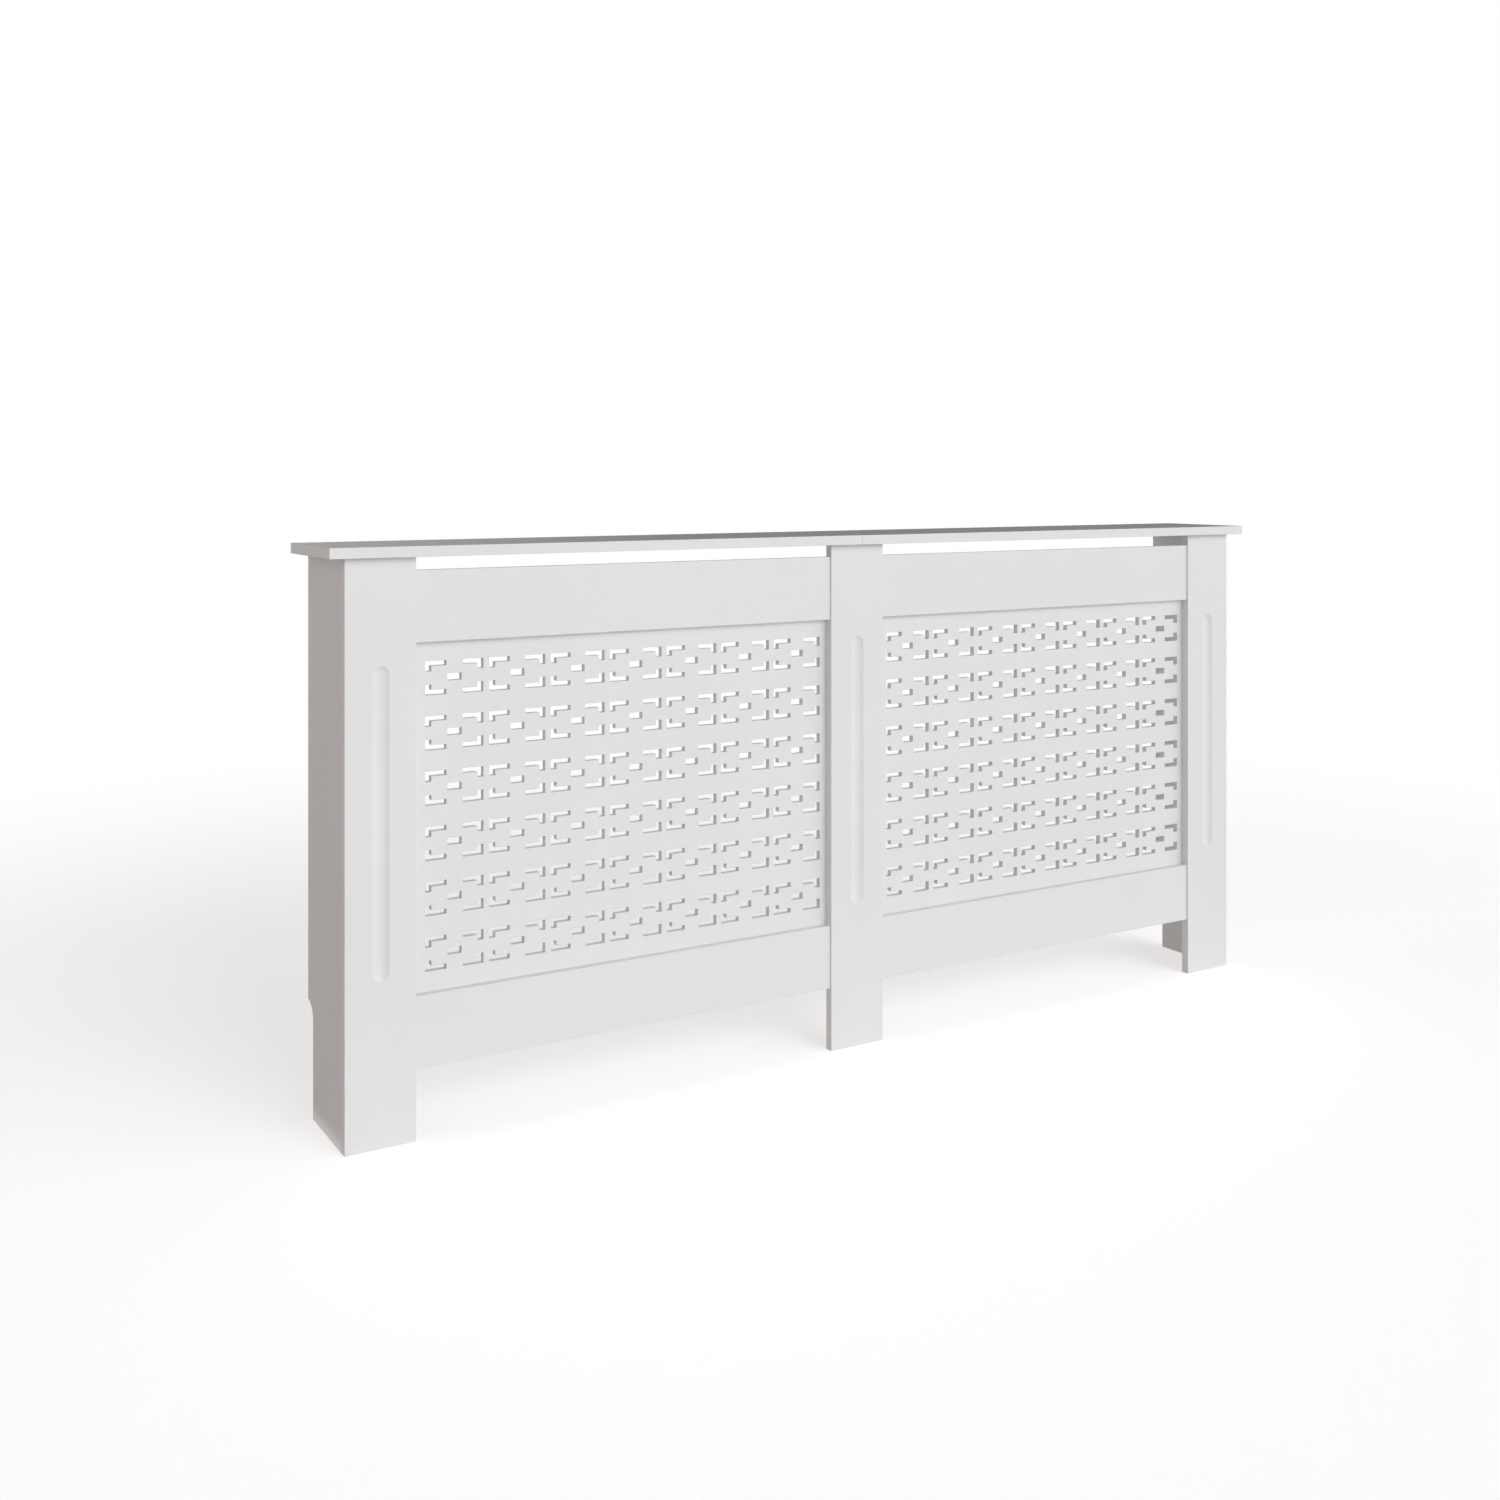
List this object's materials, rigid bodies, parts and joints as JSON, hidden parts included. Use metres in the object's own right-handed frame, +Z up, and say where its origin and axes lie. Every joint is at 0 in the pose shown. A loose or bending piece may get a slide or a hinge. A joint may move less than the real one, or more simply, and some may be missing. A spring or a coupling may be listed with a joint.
{
  "type": "radiator cover cabinet",
  "caption": "White painted radiator cover cabinet: a long butted shelf over square fluted posts, slotted key-pattern fretwork panels and side panels notched at the skirting, open at the back.",
  "frame": {"origin": "on the floor, at the centre of the bounding box's footprint", "axes": "+Z up, +X along the cabinet's length to the viewer's right when facing the front, +Y from the front towards the wall"},
  "size_m": [1.72, 0.19, 0.82],
  "materials": {
    "painted_mdf": "smooth satin white paint on medium-density fibreboard",
    "beech": "bare turned beech",
    "zinc_plated_steel": "bright zinc plate on pressed steel"
  },
  "bodies": {
    "root": {"bottom_rail_left": "painted_mdf", "bottom_rail_left_dowel_inner_lower": "beech", "bottom_rail_left_dowel_inner_upper": "beech", "bottom_rail_left_dowel_outer_lower": "beech", "bottom_rail_left_dowel_outer_upper": "beech", "bottom_rail_right": "painted_mdf", "bottom_rail_right_dowel_inner_lower": "beech", "bottom_rail_right_dowel_inner_upper": "beech", "bottom_rail_right_dowel_outer_lower": "beech", "bottom_rail_right_dowel_outer_upper": "beech", "centre_post": "painted_mdf", "end_post_left": "painted_mdf", "end_post_right": "painted_mdf", "fretwork_left": "painted_mdf", "fretwork_right": "painted_mdf", "joining_plate_back": "zinc_plated_steel", "joining_plate_back_screw_left": "zinc_plated_steel", "joining_plate_back_screw_right": "zinc_plated_steel", "joining_plate_front": "zinc_plated_steel", "joining_plate_front_screw_left": "zinc_plated_steel", "joining_plate_front_screw_right": "zinc_plated_steel", "post_bracket_left": "zinc_plated_steel", "post_bracket_left_screw_board": "zinc_plated_steel", "post_bracket_left_screw_shelf": "zinc_plated_steel", "post_bracket_right": "zinc_plated_steel", "post_bracket_right_screw_board": "zinc_plated_steel", "post_bracket_right_screw_shelf": "zinc_plated_steel", "shelf_bracket_left": "zinc_plated_steel", "shelf_bracket_left_screw_board": "zinc_plated_steel", "shelf_bracket_left_screw_shelf": "zinc_plated_steel", "shelf_bracket_right": "zinc_plated_steel", "shelf_bracket_right_screw_board": "zinc_plated_steel", "shelf_bracket_right_screw_shelf": "zinc_plated_steel", "shelf_dowel_left": "beech", "shelf_dowel_right": "beech", "shelf_left": "painted_mdf", "shelf_right": "painted_mdf", "side_panel_left": "painted_mdf", "side_panel_left_dowel_1": "beech", "side_panel_left_dowel_2": "beech", "side_panel_left_dowel_3": "beech", "side_panel_right": "painted_mdf", "side_panel_right_dowel_1": "beech", "side_panel_right_dowel_2": "beech", "side_panel_right_dowel_3": "beech", "top_rail_left": "painted_mdf", "top_rail_left_dowel_inner_lower": "beech", "top_rail_left_dowel_inner_upper": "beech", "top_rail_left_dowel_outer_lower": "beech", "top_rail_left_dowel_outer_upper": "beech", "top_rail_right": "painted_mdf", "top_rail_right_dowel_inner_lower": "beech", "top_rail_right_dowel_inner_upper": "beech", "top_rail_right_dowel_outer_lower": "beech", "top_rail_right_dowel_outer_upper": "beech", "wall_bracket_left": "zinc_plated_steel", "wall_bracket_left_screw": "zinc_plated_steel", "wall_bracket_right": "zinc_plated_steel", "wall_bracket_right_screw": "zinc_plated_steel"}
  },
  "joints": []
}
